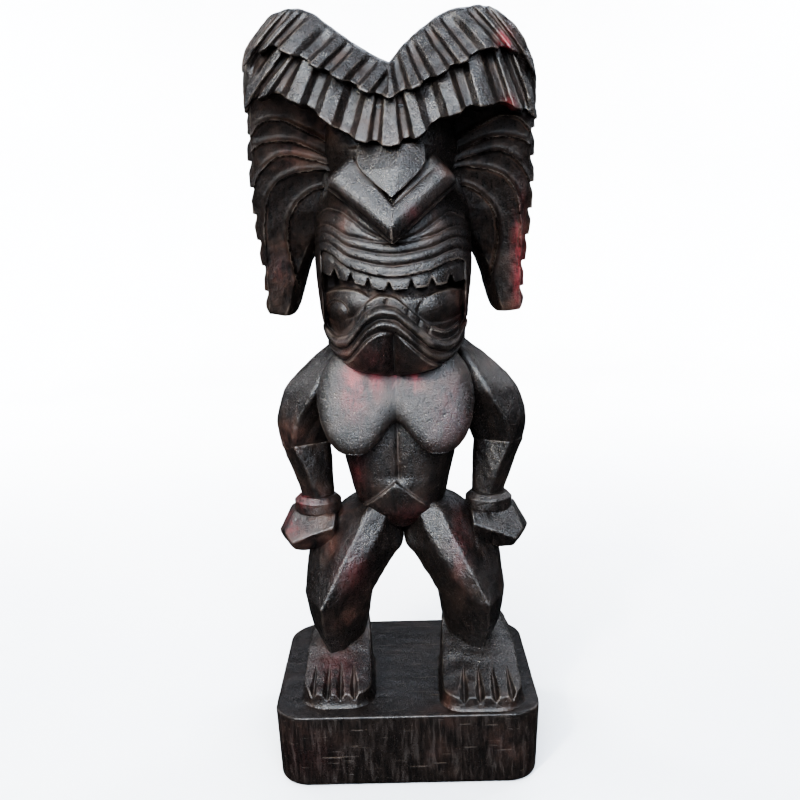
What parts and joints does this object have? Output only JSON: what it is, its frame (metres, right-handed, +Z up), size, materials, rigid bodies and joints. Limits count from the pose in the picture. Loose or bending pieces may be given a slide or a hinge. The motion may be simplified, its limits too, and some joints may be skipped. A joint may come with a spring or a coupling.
{
  "type": "tiki figure",
  "caption": "Standing carved wooden tiki figure on a rectangular plinth, with a pleated V-shaped crest, hair wings, a wide snarling mouth and bent legs.",
  "frame": {"origin": "middle of the plinth's underside, on the surface that the figure stands on", "axes": "+Z up; -Y towards the figure's front, the side that the face looks to; +X to the viewer's right when facing the figure"},
  "size_m": [0.376, 0.3144, 1.01],
  "materials": {
    "figure_wood": "black-brown stain under a worn satin wax, reddish where it has rubbed through",
    "plinth_wood": "black-brown stain, satin, with fine cracks and scratches",
    "dowel_wood": "bare hardwood rod"
  },
  "bodies": {
    "root": {"ankle_dowels": "dowel_wood", "belly": "figure_wood", "chest_plate": "figure_wood", "crest_dowels": "dowel_wood", "crest_lower_left": "figure_wood", "crest_lower_right": "figure_wood", "crest_upper_left": "figure_wood", "crest_upper_right": "figure_wood", "ear_wing_left": "figure_wood", "ear_wing_right": "figure_wood", "elbow_dowels": "dowel_wood", "foot_left": "figure_wood", "foot_right": "figure_wood", "forearm_left": "figure_wood", "forearm_right": "figure_wood", "hand_left": "figure_wood", "hand_right": "figure_wood", "head_block": "figure_wood", "hip_dowels": "dowel_wood", "jaw_block": "figure_wood", "jaw_dowels": "dowel_wood", "leg_left": "figure_wood", "leg_right": "figure_wood", "neck_dowel": "dowel_wood", "nose_block": "figure_wood", "nose_dowel": "dowel_wood", "plinth": "plinth_wood", "shoulder_dowels": "dowel_wood", "torso": "figure_wood", "upper_arm_left": "figure_wood", "upper_arm_right": "figure_wood", "waist_dowel": "dowel_wood", "wing_dowels": "dowel_wood", "wristband_left": "figure_wood", "wristband_right": "figure_wood"}
  },
  "joints": []
}
